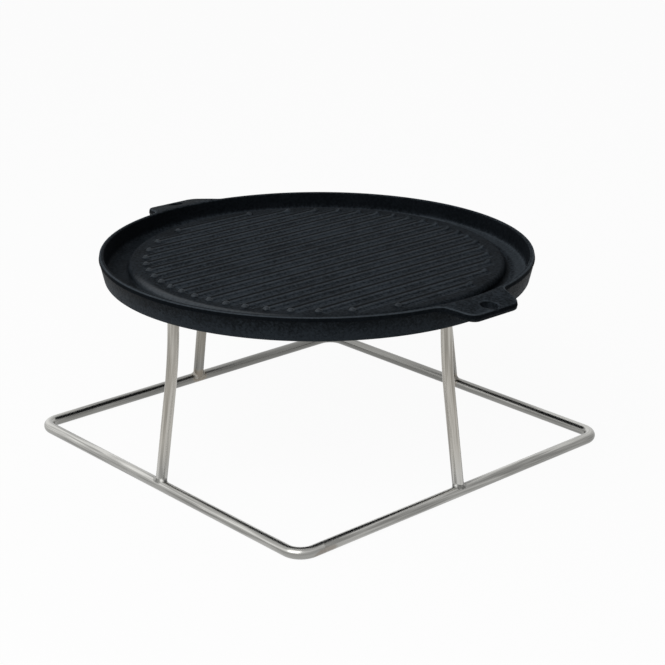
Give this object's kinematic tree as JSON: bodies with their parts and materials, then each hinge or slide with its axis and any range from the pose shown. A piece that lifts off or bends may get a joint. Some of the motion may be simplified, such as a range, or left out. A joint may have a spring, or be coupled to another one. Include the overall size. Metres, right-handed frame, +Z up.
{
  "type": "camp griddle plate with stand",
  "caption": "Round cast-iron griddle plate with a ribbed face, drip moat and eared rim, resting loose on an open welded stand of bent stainless rod.",
  "frame": {"origin": "on the ground, under the middle of the stand and plate", "axes": "+Z up; +Y through one ear of the plate and the leg under it; +X along the ribs"},
  "size_m": [0.311, 0.3506, 0.1455],
  "materials": {
    "cast_iron": "matt black sand casting",
    "stainless_rod": "satin drawn rod",
    "weld_bead": "smooth weld with a light heat tint"
  },
  "bodies": {
    "stand": {"base_frame": "stainless_rod", "frame_seam_weld": "weld_bead", "leg_front": "stainless_rod", "leg_back": "stainless_rod", "leg_left": "stainless_rod", "leg_right": "stainless_rod", "foot_weld_front": "weld_bead", "foot_weld_back": "weld_bead", "foot_weld_left": "weld_bead", "foot_weld_right": "weld_bead"},
    "plate": {"griddle_plate": "cast_iron"}
  },
  "joints": [
    {"name": "plate_lift", "type": "slide", "parent": "stand", "child": "plate", "axis": [0, 0, 1], "range_m": [0, 0.06]}
  ]
}
